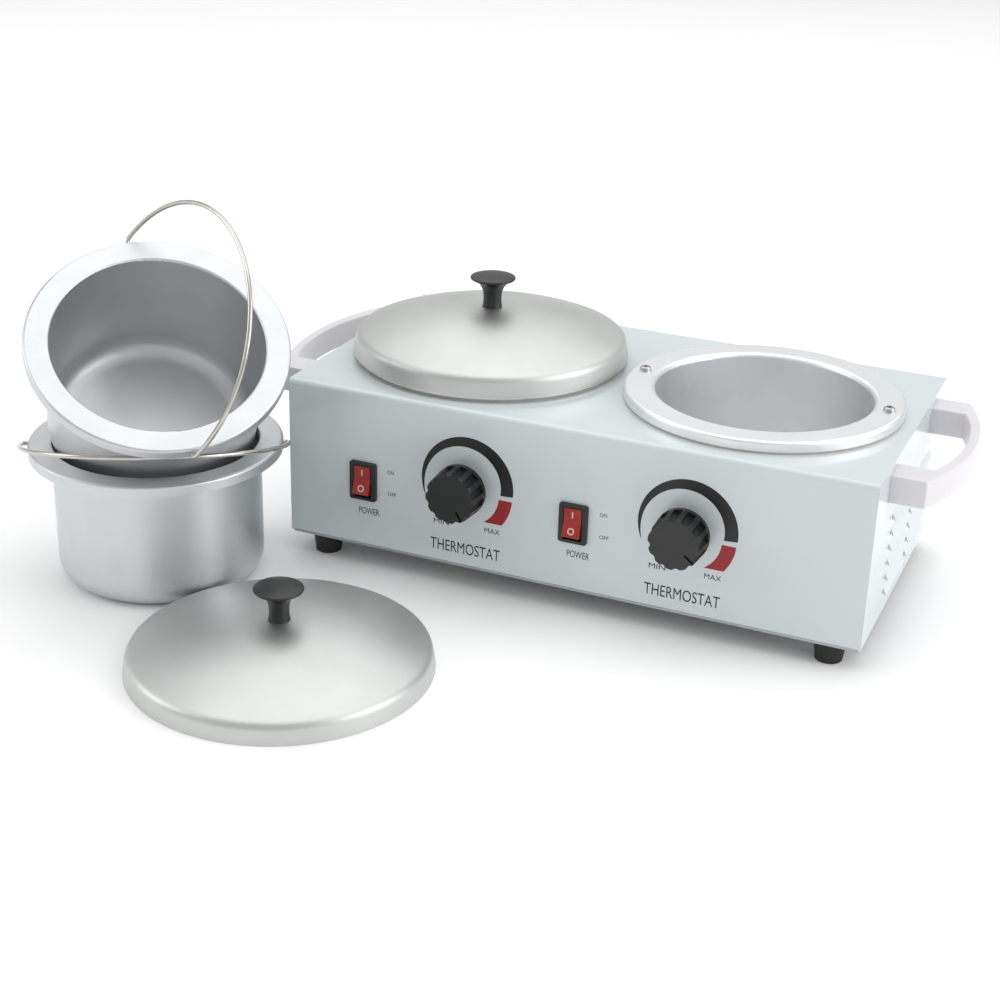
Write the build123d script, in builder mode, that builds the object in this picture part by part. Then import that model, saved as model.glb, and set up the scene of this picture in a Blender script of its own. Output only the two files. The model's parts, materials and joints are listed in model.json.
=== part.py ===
"""Double wax warmer: a sheet-metal heater box with two heated wells, two lift-out wax pots and two lids.

Frame: +X to the right along the control panel, +Y to the back, +Z up. The origin is on the table,
in the middle between the four feet. Millimetres.
"""
from build123d import *
from math import cos, radians, sin, sqrt, tan
import os

os.makedirs("parts", exist_ok=True)

# ---------------------------------------------------------------- driving sizes
# Heater box
housing_length = 305.0
housing_depth = 162.0
housing_height = 86.0
sheet = 1.0                 # folded front, top and back
end_sheet = 1.2             # end panels
base_sheet = 1.2
fold_radius = 2.5
lip_width = 16.0            # inward lips under the front and back walls
tab_width = 12.0            # bottom tabs of the end panels
top_tab_width = 8.0
base_inset = 1.0            # the base plate is this much smaller all round

# Feet
foot_height = 11.2
foot_top_radius = 8.0
foot_bottom_radius = 6.7
foot_inset_x = 16.5
foot_inset_y = 10.5
foot_recess_depth = 6.0
foot_recess_radius = 4.4

# Wells
well_spacing = 150.0
well_depth = 70.0
well_bore_radius = 54.8
well_flange_radius = 70.5
well_rim_height = 5.0       # down-turned rim of the flange
well_sheet = 1.2
well_mouth_radius = 2.5
well_floor_radius = 6.0
gasket_thickness = 1.2
gasket_width = 3.6
flange_screw_circle = 63.2

# Heater bands round the wells
band_thickness = 2.6
band_height = 28.0
band_drop = 28.0            # flange top down to the band's upper edge
band_gap = 9.0
band_ear = 9.0
band_ear_thickness = 2.0

# Wax pots
pot_radius = 52.3
pot_height = 72.0
pot_rim_radius = 63.5
pot_skirt = 5.5
pot_sheet = 1.0
pot_floor_radius = 10.0
pot_mouth_radius = 1.2
pot_stand = (50.6, 46.0)    # pot's axis to the left of and in front of the box's front corner
lean_angle = 33.98          # the upper pot leans in the mouth of the lower one
lean_bearing = -47.9
lean_setback = 0.279        # of the pot's radius, from the lower pot's axis to the upper pot's foot

# Wire bails of the pots
wire_radius = 1.15
bail_radius = 66.5
bail_leg = 5.5
bail_bend = 3.0
bail_pin_end = 59.5         # inner end of each hooked pin, from the pot's axis
bail_drop = 3.0             # pivot below the rim's top
lower_bail_bearing = 28.0
lower_bail_rise = 16.5      # above the rim plane, towards the front
upper_bail_turn = 85.2      # pivot direction, from the pot's level diameter
upper_bail_tilt = 29.7      # from the pot's axis, towards the back

# Lids
lid_top_radius = 71.5
lid_skirt_radius = 73.0
lid_height = 9.6  # of the skirt, up to where the dome starts
lid_rise = 14.5  # of the dome's middle above the skirt
lid_seat = 6.5  # radius of the flat in the middle, under the knob
lid_sheet = 0.8
lid_hem = 2.95
lid_shoulder = 3.0
floor_lid_stand = (106.6, 64.6)  # to the right of and in front of the pot's axis

# Lid knobs
lid_knob_height = 17.5
lid_knob_radius = 11.9
lid_knob_rim = 1.3  # thickness of the disc's edge
lid_knob_crown = 1.2  # rise of its top above the edge
lid_knob_stem = 4.8
lid_knob_foot = 5.3
lid_knob_neck = 5.6

# Carrying handles
handle_half_length = 57.0
handle_inner_half = 40.5
handle_leg = 17.0
handle_reach = 29.7
handle_inner_reach = 24.6
handle_height = 13.9
handle_top_drop = 3.7       # from the housing's top to the handle's top
handle_edge = 1.2
handle_screw_bite = 11.0

# Controls on the front
control_pitch = 115.6
switch_inset = 43.1         # left end to the first switch
switch_height = 37.55       # above the housing's underside
dial_offset = 57.9          # switch to dial
dial_height = 46.9

# Rocker switches
bezel_width = 15.0
bezel_height = 21.0
bezel_thickness = 2.0
switch_body_width = 12.8
switch_body_height = 19.0
switch_body_depth = 14.0
switch_open_width = 9.8
switch_open_height = 17.4
rocker_width = 9.0
rocker_height = 15.2
rocker_throw = 20.0
pivot_pin_radius = 1.2

# Thermostats and their knobs
shaft_radius = 3.0
shaft_flat = 2.2
bush_radius = 5.0
bush_reach = 5.0            # in front of the panel
knob_gap = 7.0              # panel to the knob's back
knob_depth = 14.7
knob_skirt_radius = 13.6
knob_face_radius = 13.0
knob_skirt_depth = 3.2
knob_flutes = 12
flute_radius = 2.3
knob_angles = (-57.0, -36.0)   # pointer directions, from +X towards +Z
thermostat_width = 34.0
thermostat_height = 30.0
thermostat_depth = 16.0

# Mains inlet in the back wall
inlet_height = 36.0
inlet_flange = (48.0, 24.0, 2.5)
inlet_body = (27.4, 20.4, 22.0)
inlet_cavity = (24.4, 16.4, 15.0)
inlet_screw_spacing = 40.0

# Clearances
hole_clearance = 0.2        # panel holes round fixed pieces
pin_clearance = 0.07        # turning pins and shafts in their holes, radial
touch_gap = 0.05            # pieces that lie against each other
rest_gap = 0.35             # between loose pieces that rest on each other

# ---------------------------------------------------------------- derived places
base_z = foot_height
floor_z = base_z + base_sheet                  # top of the base plate
top_z = base_z + housing_height
front_y = -housing_depth / 2
back_y = housing_depth / 2
end_x = housing_length / 2
inner_x = end_x - end_sheet
flange_z = top_z + gasket_thickness + well_rim_height
well_floor_z = flange_z - well_depth
well_outer_radius = well_bore_radius + well_sheet
well_x = {"left": -well_spacing / 2, "right": well_spacing / 2}
switch_places = {"left": switch_inset - end_x, "right": switch_inset - end_x + control_pitch}
pot_place = (-end_x - pot_stand[0], front_y - pot_stand[1])
floor_lid_place = (pot_place[0] + floor_lid_stand[0], pot_place[1] - floor_lid_stand[1])
dial_x = {side: x + dial_offset for side, x in switch_places.items()}
dial_z = base_z + dial_height
switch_z = base_z + switch_height
handle_z = top_z - handle_top_drop - handle_height
leg_centre = (handle_half_length + handle_inner_half) / 2
band_top = flange_z - band_drop
foot_places = [
    (sx * (end_x - foot_inset_x), sy * (back_y - foot_inset_y)) for sx in (-1, 1) for sy in (-1, 1)
]
sides = {"left": -1, "right": 1}

UP = Vector(0, 0, 1)
DOWN = Vector(0, 0, -1)


# ---------------------------------------------------------------- helpers
def save(piece, name):
    """Label a finished piece and write it as its own STEP file."""
    piece.part.label = name
    export_step(piece.part, f"parts/{name}.step")


def upright(x, y, z=0.0):
    """Horizontal plane at a point, normal up."""
    return Plane(origin=(x, y, z), x_dir=(1, 0, 0), z_dir=(0, 0, 1))


def looking(direction, x, y, z):
    """Plane at a point with its normal along a direction."""
    return Plane(origin=(x, y, z), z_dir=direction)


def facing_front(x, z, y=0.0):
    """Vertical plane whose normal looks out of the front; local x is +X and local y is +Z."""
    return Plane(origin=(x, y, z), x_dir=(1, 0, 0), z_dir=(0, -1, 0))


def facing_back(x, z, y):
    """Vertical plane whose normal looks out of the back; local x is -X and local y is +Z."""
    return Plane(origin=(x, y, z), x_dir=(-1, 0, 0), z_dir=(0, 1, 0))


def meridian(frame):
    """Plane through a frame's axis: local x is the radius and local y runs along the axis."""
    return Plane(origin=frame.origin, x_dir=frame.x_dir, z_dir=-frame.y_dir)


def axis_of(frame):
    return Axis(frame.origin, frame.z_dir)


def pan_screw(shank, head, rise, length):
    """Cross-recess pan-head screw: the head stands on XY and the shank goes down."""
    slot = head * 0.22
    with BuildPart() as screw:
        with BuildSketch(meridian(Plane.XY)):
            with BuildLine():
                crown = Line((0, rise), (head * 0.55, rise))
                side = Line((head, rise * 0.35), (head, 0))
                Spline(crown @ 1, side @ 0, tangents=((1, 0), (0, -1)))
                Polyline((head, 0), (shank, 0), (shank, -length), (0, -length), (0, rise))
            make_face()
        revolve(axis=Axis.Z)
        with BuildSketch(Plane.XY.offset(rise)):
            Rectangle(head * 1.1, slot)
            Rectangle(slot, head * 1.1)
        extrude(amount=-rise * 0.55, mode=Mode.SUBTRACT)
    return screw.part


def hex_nut(across, bore, height):
    """Hexagon nut standing on XY."""
    with BuildPart() as nut:
        with BuildSketch():
            RegularPolygon(across / 2, 6, major_radius=False)
            Circle(bore, mode=Mode.SUBTRACT)
        extrude(amount=height)
    return nut.part


def place_copies(stock, seats, name):
    """Save copies of a stock piece, one on each seat plane, as one node."""
    with BuildPart() as copies:
        with Locations(*seats):
            add(stock)
    save(copies, name)


def dish_profile(frame, rim_radius, rim_height, bore_radius, height, floor_height, thickness, corners):
    """Half section of a spun dish: down-turned rim, flat flange, rounded mouth, wall and floor.

    corners are the outer radii at the rim, the mouth and the floor. height is the flange's top.
    """
    with BuildSketch(meridian(frame)) as profile:
        with BuildLine():
            FilletPolyline(
                (rim_radius, height - rim_height),
                (rim_radius, height),
                (bore_radius, height),
                (bore_radius, floor_height),
                (0, floor_height),
                radius=corners,
            )
            offset(amount=thickness, side=Side.LEFT)
        make_face()
    return profile.sketch


def bend_radii(points, share=0.45):
    """Radius of the arc at each inner point of a route, as large as its two runs allow."""
    radii = []
    for before, corner, after in zip(points, points[1:], points[2:]):
        arriving = Vector(*corner) - Vector(*before)
        leaving = Vector(*after) - Vector(*corner)
        turn = radians(arriving.get_angle(leaving))
        radii.append(share * min(arriving.length, leaving.length) / tan(turn / 2))
    return radii


def tube(points, radius):
    """Round wire or tube along straight runs joined by tangent arcs."""
    with BuildPart() as run:
        with BuildLine() as route:
            FilletPolyline(*points, radius=bend_radii(points))
        with BuildSketch(Plane(origin=route.line @ 0, z_dir=route.line % 0)):
            Circle(radius)
        sweep()
    return run.part


# ---------------------------------------------------------------- sizes of the fasteners
M3 = {"shank": 1.5, "head": 2.9, "rise": 2.1}
M4 = {"shank": 2.0, "head": 3.7, "rise": 2.4}
nut_m3 = {"across": 5.5, "bore": 1.5, "height": 2.4}
nut_m4 = {"across": 7.0, "bore": 2.0, "height": 3.0}


# ---------------------------------------------------------------- heater box
def housing_shell():
    """Front, top and back folded from one sheet, with lips under the front and back."""
    with BuildPart() as shell:
        with BuildSketch(Plane.YZ.offset(-inner_x)):
            with BuildLine():
                FilletPolyline(
                    (front_y + lip_width, floor_z),
                    (front_y, floor_z),
                    (front_y, top_z),
                    (back_y, top_z),
                    (back_y, floor_z),
                    (back_y - lip_width, floor_z),
                    radius=[sheet * 1.5, fold_radius, fold_radius, sheet * 1.5],
                )
                offset(amount=sheet, side=Side.RIGHT)
            make_face()
        extrude(amount=2 * inner_x)
        # openings for the wells and their screws
        with BuildSketch(Plane.XY.offset(top_z)):
            for x in well_x.values():
                with Locations((x, 0)):
                    Circle(well_outer_radius + 1.5)
                with Locations((x - flange_screw_circle, 0), (x + flange_screw_circle, 0)):
                    Circle(M3["shank"] + hole_clearance)
        extrude(amount=-2 * sheet, mode=Mode.SUBTRACT)
        # cut-outs in the front for the switches and the thermostats
        with BuildSketch(facing_front(0, 0, front_y)):
            for x in switch_places.values():
                with Locations((x, switch_z)):
                    Rectangle(
                        switch_body_width + 2 * hole_clearance, switch_body_height + 2 * hole_clearance
                    )
            for x in dial_x.values():
                with Locations((x, dial_z)):
                    Circle(bush_radius + hole_clearance)
        extrude(amount=-2 * sheet, mode=Mode.SUBTRACT)
        # cut-out in the back for the mains inlet
        with BuildSketch(facing_back(0, 0, back_y)):
            with Locations((0, base_z + inlet_height)):
                Rectangle(inlet_body[0] + 2 * hole_clearance, inlet_body[1] + 2 * hole_clearance)
                with GridLocations(inlet_screw_spacing, 0, 2, 1):
                    Circle(M3["shank"] + touch_gap)
        extrude(amount=-2 * sheet, mode=Mode.SUBTRACT)
        # foot screws pass through the lips
        with BuildSketch(Plane.XY.offset(floor_z)):
            with Locations(*foot_places):
                Circle(M4["shank"] + hole_clearance)
        extrude(amount=2 * sheet, mode=Mode.SUBTRACT)
    save(shell, "housing_shell")


base_screw_x = end_x - tab_width / 2 - end_sheet
base_screw_y = housing_depth * 0.25


def base_plate():
    """Flat base with feet holes and two fields of cooling slots under the wells."""
    with BuildPart() as base:
        with BuildSketch(Plane.XY.offset(base_z)):
            Rectangle(housing_length - 2 * base_inset, housing_depth - 2 * base_inset)
            with Locations(*foot_places):
                Circle(M4["shank"] + hole_clearance, mode=Mode.SUBTRACT)
            with GridLocations(2 * base_screw_x, 2 * base_screw_y, 2, 2):
                Circle(M3["shank"] + hole_clearance, mode=Mode.SUBTRACT)
            with Locations(earth_place):
                Circle(M4["shank"] + touch_gap, mode=Mode.SUBTRACT)
            for x in well_x.values():
                with Locations((x, 0)):
                    with GridLocations(0, 12, 1, 5):
                        SlotOverall(46, 4, mode=Mode.SUBTRACT)
        extrude(amount=base_sheet)
    save(base, "base_plate")


louvre_count = 6
louvre_pitch = 8.0
louvre_length = 42.0
louvre_gap = 2.4
louvre_reach = 1.8
louvre_first = 12.0         # above the housing's underside
louvre_centres = (-17.3, 31.0)


handle_screw_z = handle_z + handle_height / 2


def end_panel(side):
    """Flat end with pressed louvres, a bottom tab on the base and a top tab under the shell."""
    sign = sides[side]
    outside = Plane(origin=(sign * end_x, 0, 0), x_dir=(0, 1, 0), z_dir=(1, 0, 0))
    inward = -sign * end_sheet
    tab_length = housing_depth - 2 * lip_width - 2 * fold_radius - 12.0
    with BuildPart() as panel:
        with BuildSketch(outside):
            with Locations((0, (floor_z + top_z) / 2)):
                Rectangle(housing_depth, top_z - floor_z)
            corners = vertices().group_by(Axis.Y)[-1]
            fillet(corners, fold_radius)
        extrude(amount=inward)
        with BuildSketch(Plane.XY.offset(floor_z)):
            with Locations((sign * (inner_x - tab_width / 2), 0)):
                Rectangle(tab_width, tab_length)
            with Locations((sign * base_screw_x, base_screw_y), (sign * base_screw_x, -base_screw_y)):
                Circle(M3["shank"], mode=Mode.SUBTRACT)
        extrude(amount=end_sheet)
        with BuildSketch(Plane.XY.offset(top_z - sheet)):
            with Locations((sign * (inner_x - top_tab_width / 2), 0)):
                Rectangle(top_tab_width, tab_length)
        extrude(amount=-end_sheet)
        # louvres: a slot under each pressed-out hood
        rows = [floor_z + louvre_first + i * louvre_pitch for i in range(louvre_count)]
        places = [(y, z) for y in louvre_centres for z in rows]
        with BuildSketch(outside):
            with Locations(*places):
                Rectangle(louvre_length, louvre_gap)
        extrude(amount=inward, mode=Mode.SUBTRACT)
        for y, z in places:
            with BuildSketch(Plane.XZ.offset(-(y - louvre_length / 2))):
                with BuildLine():
                    Polyline(
                        (sign * (end_x - end_sheet * 0.5), z + louvre_gap),
                        (sign * (end_x - end_sheet * 0.5), z + louvre_gap / 2),
                        (sign * (end_x + louvre_reach - 0.8), z - louvre_gap / 2),
                        (sign * (end_x + louvre_reach), z - louvre_gap / 2),
                        (sign * end_x, z + louvre_gap),
                        close=True,
                    )
                make_face()
            extrude(amount=-louvre_length)
        # handle screws
        with BuildSketch(outside):
            with Locations((leg_centre, handle_screw_z), (-leg_centre, handle_screw_z)):
                Circle(M4["shank"] + hole_clearance)
        extrude(amount=inward, mode=Mode.SUBTRACT)
    save(panel, f"end_panel_{side}")


def foot(name, place):
    """Tapered rubber foot with a recess for its screw."""
    frame = upright(*place)
    with BuildPart() as piece:
        with BuildSketch(meridian(frame)):
            with BuildLine():
                Polyline(
                    (M4["shank"], foot_height),
                    (foot_top_radius, foot_height),
                    (foot_bottom_radius, 0),
                    (foot_recess_radius, 0),
                    (foot_recess_radius, foot_recess_depth),
                    (M4["shank"], foot_recess_depth),
                    close=True,
                )
            make_face()
        revolve(axis=axis_of(frame))
        fillet(edges().filter_by(GeomType.CIRCLE).group_by(Axis.Z)[0], 0.6)
    save(piece, name)


def foot_fasteners():
    """Four screws up through the feet, the base and the lips, each into a nut."""
    stack = foot_height - foot_recess_depth + base_sheet + sheet
    screw = pan_screw(**M4, length=stack + nut_m4["height"] + 1.0)
    place_copies(screw, [looking(DOWN, x, y, foot_recess_depth) for x, y in foot_places], "foot_screws")
    nut_seats = [upright(x, y, floor_z + sheet) for x, y in foot_places]
    place_copies(hex_nut(**nut_m4), nut_seats, "foot_nuts")


def base_screws():
    """Four screws from below that hold the base to the end panels' tabs."""
    corners = [(sx * base_screw_x, sy * base_screw_y) for sx in (-1, 1) for sy in (-1, 1)]
    seats = [looking(DOWN, x, y, base_z) for x, y in corners]
    place_copies(pan_screw(**M3, length=7.0), seats, "base_screws")


def handle(side):
    """D-shaped moulded handle: two square legs joined by a shallow bow."""
    sign = sides[side]
    start = sign * end_x
    with BuildPart() as grip:
        with BuildSketch(Plane.XY.offset(handle_z)):
            with BuildLine():
                outer = ThreePointArc(
                    (start + sign * handle_leg, -handle_half_length),
                    (start + sign * handle_reach, 0),
                    (start + sign * handle_leg, handle_half_length),
                )
                inner = ThreePointArc(
                    (start + sign * handle_leg, handle_inner_half),
                    (start + sign * handle_inner_reach, 0),
                    (start + sign * handle_leg, -handle_inner_half),
                )
                Polyline(outer @ 1, (start, handle_half_length), (start, handle_inner_half), inner @ 0)
                Polyline(inner @ 1, (start, -handle_inner_half), (start, -handle_half_length), outer @ 0)
            make_face()
        extrude(amount=handle_height)
        fillet(edges().filter_by(Axis.Z).group_by(Axis.X)[0 if sign < 0 else -1], handle_edge)
        rims = edges().filter_by(lambda edge: abs(edge.center().X) > end_x + 0.5)
        fillet(rims.filter_by(Plane.XY), 0.8)
        for y in (-leg_centre, leg_centre):
            seat = Plane(
                origin=(start, y, handle_z + handle_height / 2), x_dir=(0, 1, 0), z_dir=(sign, 0, 0)
            )
            with BuildSketch(seat):
                Circle(M4["shank"])
            extrude(amount=handle_screw_bite, mode=Mode.SUBTRACT)
    save(grip, f"handle_{side}")


def handle_screws():
    """Two screws per handle, driven from inside the box."""
    height = handle_z + handle_height / 2
    seats = []
    for sign in sides.values():
        for y in (-leg_centre, leg_centre):
            seats.append(looking(Vector(-sign, 0, 0), sign * inner_x, y, height))
    screw = pan_screw(**M4, length=end_sheet + handle_screw_bite - 1.0)
    place_copies(screw, seats, "handle_screws")


# ---------------------------------------------------------------- wells and heaters
def well(side):
    """Spun aluminium well: a deep cup whose flange turns down onto its gasket."""
    x = well_x[side]
    frame = upright(x, 0)
    profile = dish_profile(
        frame,
        well_flange_radius,
        well_rim_height,
        well_bore_radius,
        flange_z,
        well_floor_z,
        well_sheet,
        [well_sheet * 1.4, well_mouth_radius, well_floor_radius],
    )
    with BuildPart() as cup:
        revolve(profile, axis=axis_of(frame))
        with BuildSketch(Plane.XY.offset(flange_z)):
            with Locations((x - flange_screw_circle, 0), (x + flange_screw_circle, 0)):
                Circle(M3["shank"] + hole_clearance)
        extrude(amount=-2 * well_sheet, mode=Mode.SUBTRACT)
    save(cup, f"well_{side}")


def well_gasket(side):
    """Flat silicone ring between the flange's rim and the housing."""
    outer = well_flange_radius - 0.3
    with BuildPart() as ring:
        with BuildSketch(upright(well_x[side], 0, top_z)):
            Circle(outer)
            Circle(outer - gasket_width, mode=Mode.SUBTRACT)
        extrude(amount=gasket_thickness)
    save(ring, f"well_gasket_{side}")


flange_places = [(x + s * flange_screw_circle, 0) for x in well_x.values() for s in (-1, 1)]


def flange_fasteners():
    """Two screws per flange, each with a spacer under the flange and a nut inside."""
    length = flange_z - top_z + sheet + nut_m3["height"] + 1.0
    screw_seats = [upright(x, y, flange_z) for x, y in flange_places]
    place_copies(pan_screw(**M3, length=length), screw_seats, "flange_screws")
    spacer = hex_nut(across=5.5, bore=M3["shank"] + touch_gap, height=flange_z - well_sheet - top_z)
    place_copies(spacer, [upright(x, y, top_z) for x, y in flange_places], "flange_spacers")
    nut_seats = [upright(x, y, top_z - sheet - nut_m3["height"]) for x, y in flange_places]
    place_copies(hex_nut(**nut_m3), nut_seats, "flange_nuts")


band_inner = well_outer_radius + touch_gap
band_outer = band_inner + band_thickness
ear_reach = band_outer + band_ear
band_bottom = band_top - band_height
bolt_z = (band_top + band_bottom) / 2
bolt_y = band_outer + band_ear * 0.55


def heater_band(side):
    """Mica band heater clamped round the well, its ears at the back."""
    x = well_x[side]
    with BuildPart() as band:
        with BuildSketch(upright(x, 0, band_bottom)):
            Circle(band_outer)
            with Locations((0, (band_inner + ear_reach) / 2)):
                Rectangle(band_gap + 2 * band_ear_thickness, ear_reach - band_inner)
            Circle(band_inner, mode=Mode.SUBTRACT)
            with Locations((0, (band_inner + ear_reach) / 2 - 1)):
                Rectangle(band_gap, ear_reach - band_inner + 4, mode=Mode.SUBTRACT)
        extrude(amount=band_height)
        with BuildSketch(Plane(origin=(x, bolt_y, bolt_z), x_dir=(0, 1, 0), z_dir=(1, 0, 0))):
            Circle(M4["shank"] + hole_clearance)
        extrude(amount=band_gap, both=True, mode=Mode.SUBTRACT)
    save(band, f"heater_band_{side}")


def band_bolts():
    """Clamp bolt through each band's ears, with its nut."""
    grip = band_gap / 2 + band_ear_thickness
    bolt = pan_screw(**M4, length=2 * grip + nut_m4["height"] + 1.0)
    nut = hex_nut(**nut_m4)
    with BuildPart() as bolts:
        for x in well_x.values():
            with Locations(looking(Vector(-1, 0, 0), x - grip, bolt_y, bolt_z)):
                add(bolt)
            with Locations(looking(Vector(1, 0, 0), x + grip, bolt_y, bolt_z)):
                add(nut)
    save(bolts, "band_bolts")


# ---------------------------------------------------------------- thermostats
bulb_radius = 2.75
bulb_length = 50.0
bulb_z = well_floor_z - well_sheet - bulb_radius - touch_gap
capillary_radius = 0.8
thermostat_bottom = dial_z - thermostat_height / 2
thermostat_front = front_y + sheet
blade_width = 6.3
blade_thickness = 0.8
blade_length = 8.0
blade_offset = 8.0
thermostat_blade_y = thermostat_front + thermostat_depth * 0.5


def thermostat(side):
    """Capillary thermostat body behind the panel, bored for its shaft."""
    x = dial_x[side]
    with BuildPart() as body:
        with BuildSketch(facing_front(x, dial_z, thermostat_front)):
            RectangleRounded(thermostat_width, thermostat_height, 2.0)
        extrude(amount=-thermostat_depth)
        with BuildSketch(facing_front(x, dial_z, thermostat_front)):
            Circle(shaft_radius + pin_clearance)
        extrude(amount=-thermostat_depth * 0.7, mode=Mode.SUBTRACT)
    save(body, f"thermostat_{side}")


def thermostat_fittings():
    """Threaded bushes in the panel, their nuts, and the blade terminals below the bodies."""
    reach = sheet + bush_reach
    with BuildPart() as bushes:
        with BuildSketch(facing_front(0, dial_z, thermostat_front)):
            with Locations(*[(x, 0) for x in dial_x.values()]):
                Circle(bush_radius)
                Circle(shaft_radius + pin_clearance, mode=Mode.SUBTRACT)
        extrude(amount=reach)
    save(bushes, "thermostat_bushes")
    nut_seats = [facing_front(x, dial_z, front_y) for x in dial_x.values()]
    place_copies(hex_nut(across=14.0, bore=bush_radius, height=2.5), nut_seats, "thermostat_nuts")
    with BuildPart() as blades:
        with BuildSketch(upright(0, thermostat_blade_y, thermostat_bottom)):
            with Locations(*[(x + s * blade_offset, 0) for x in dial_x.values() for s in (-1, 1)]):
                Rectangle(blade_width, blade_thickness)
        extrude(amount=-blade_length)
    save(blades, "thermostat_terminals")


capillary_y = thermostat_front + thermostat_depth * 0.8


def sensor(side):
    """Capillary tube from the thermostat to its bulb, which lies under the well's floor."""
    x = well_x[side]
    bulb_front = -bulb_length / 2
    route = [
        (dial_x[side], capillary_y, thermostat_bottom),
        (dial_x[side], capillary_y, bulb_z),
        (x, bulb_front - 15.0, bulb_z),
        (x, bulb_front, bulb_z),
    ]
    capillary = tube(route, capillary_radius)
    with BuildPart() as probe:
        add(capillary)
        with BuildSketch(looking(Vector(0, 1, 0), x, bulb_front, bulb_z)):
            Circle(bulb_radius)
        extrude(amount=bulb_length)
    save(probe, f"sensor_{side}")


def bulb_clips():
    """Spring strap that holds each bulb against its well's floor."""
    inner = bulb_radius + touch_gap
    outer = inner + 0.8
    roof = bulb_radius + touch_gap
    with BuildPart() as clips:
        for x in well_x.values():
            with BuildSketch(facing_front(x, bulb_z, -4.0)):
                Circle(outer)
                with Locations((0, roof / 2)):
                    Rectangle(2 * outer, roof)
                with Locations((0, roof - 0.4)):
                    Rectangle(2 * outer + 12, 0.8)
                Circle(inner, mode=Mode.SUBTRACT)
                with Locations((0, roof / 2 + 1)):
                    Rectangle(2 * inner, roof + 2, mode=Mode.SUBTRACT)
                with Locations((0, outer + roof)):
                    Rectangle(2 * outer + 20, 2 * outer, mode=Mode.SUBTRACT)
            extrude(amount=-10.0)
    save(clips, "bulb_clips")


def knob_frame(side):
    """Frame of a thermostat knob: axis out of the panel, local x along the pointer."""
    angle = radians(knob_angles[0] if side == "left" else knob_angles[1])
    return Plane(
        origin=(dial_x[side], front_y, dial_z), x_dir=(cos(angle), 0, sin(angle)), z_dir=(0, -1, 0)
    )


shaft_tip = knob_gap + knob_depth - 4.0
shaft_tail = sheet + thermostat_depth * 0.7 - 0.5


def thermostat_shaft(side):
    """D-shaped steel spindle from inside the thermostat into the knob."""
    frame = knob_frame(side)
    with BuildPart() as shaft:
        with BuildSketch(frame.offset(-shaft_tail)):
            Circle(shaft_radius)
        extrude(amount=shaft_tail + shaft_tip)
        with BuildSketch(frame.offset(knob_gap + 1.0)):
            with Locations((shaft_flat + shaft_radius, 0)):
                Rectangle(2 * shaft_radius, 4 * shaft_radius)
        extrude(amount=shaft_tip, mode=Mode.SUBTRACT)
    save(shaft, f"thermostat_shaft_{side}")


def knob(side):
    """Fluted knob with a plain skirt, a pointer groove and a D-shaped bore."""
    frame = knob_frame(side)
    back = frame.offset(knob_gap)
    face = frame.offset(knob_gap + knob_depth)
    with BuildPart() as body:
        with BuildSketch(meridian(back)):
            with BuildLine():
                FilletPolyline(
                    (0, 0),
                    (knob_skirt_radius, 0),
                    (knob_skirt_radius, knob_skirt_depth),
                    (knob_face_radius, knob_depth),
                    (0, knob_depth),
                    radius=[0.8, 1.2, 0.9],
                )
                Line((0, knob_depth), (0, 0))
            make_face()
        revolve(axis=axis_of(back))
        with BuildSketch(face):
            with PolarLocations(knob_face_radius + flute_radius * 0.45, knob_flutes, start_angle=15):
                Circle(flute_radius)
        extrude(amount=-(knob_depth - knob_skirt_depth), mode=Mode.SUBTRACT)
        with BuildSketch(face):
            with Locations((knob_face_radius - 2.0, 0)):
                Rectangle(8.0, 1.1)
        extrude(amount=-1.2, mode=Mode.SUBTRACT)
        with BuildSketch(face):
            with Locations((knob_face_radius, 0)):
                Rectangle(1.6, 1.1)
        extrude(amount=-(knob_depth - knob_skirt_depth), mode=Mode.SUBTRACT)
        # hollow back round a hub, and the bore for the spindle
        with BuildSketch(back):
            Circle(knob_skirt_radius - 2.0)
            Circle(shaft_radius + 3.0, mode=Mode.SUBTRACT)
        extrude(amount=knob_depth - 5.0, mode=Mode.SUBTRACT, taper=8)
        with BuildSketch(back):
            Circle(shaft_radius)
        extrude(amount=1.0, mode=Mode.SUBTRACT)
        with BuildSketch(back.offset(1.0)):
            Circle(shaft_radius)
            with Locations((shaft_flat + shaft_radius, 0)):
                Rectangle(2 * shaft_radius, 4 * shaft_radius, mode=Mode.SUBTRACT)
        extrude(amount=shaft_tip - knob_gap - 1.0, mode=Mode.SUBTRACT)
    save(body, f"knob_{side}")


# ---------------------------------------------------------------- switches
rocker_pivot_depth = 4.0    # behind the bezel's face
rocker_proud = 0.3
rocker_y = front_y - bezel_thickness + rocker_pivot_depth


def switch_housing(side):
    """Bezel and body of a rocker switch, open to the front, with bores for the rocker's pins."""
    x = switch_places[side]
    cavity_depth = bezel_thickness + switch_body_depth - 2.5
    with BuildPart() as body:
        with BuildSketch(facing_front(x, switch_z, front_y)):
            RectangleRounded(bezel_width, bezel_height, 1.4)
        extrude(amount=bezel_thickness)
        fillet(faces().sort_by(Axis.Y)[0].edges(), 0.5)
        with BuildSketch(facing_front(x, switch_z, front_y)):
            Rectangle(switch_body_width, switch_body_height)
        extrude(amount=-switch_body_depth)
        with BuildSketch(facing_front(x, switch_z, front_y - bezel_thickness)):
            Rectangle(switch_open_width, switch_open_height)
        extrude(amount=-cavity_depth, mode=Mode.SUBTRACT)
        with BuildSketch(Plane(origin=(x, rocker_y, switch_z), x_dir=(0, 1, 0), z_dir=(1, 0, 0))):
            Circle(pivot_pin_radius + pin_clearance)
        extrude(amount=switch_body_width / 2 - 0.1, both=True, mode=Mode.SUBTRACT)
    save(body, f"switch_housing_{side}")


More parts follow.
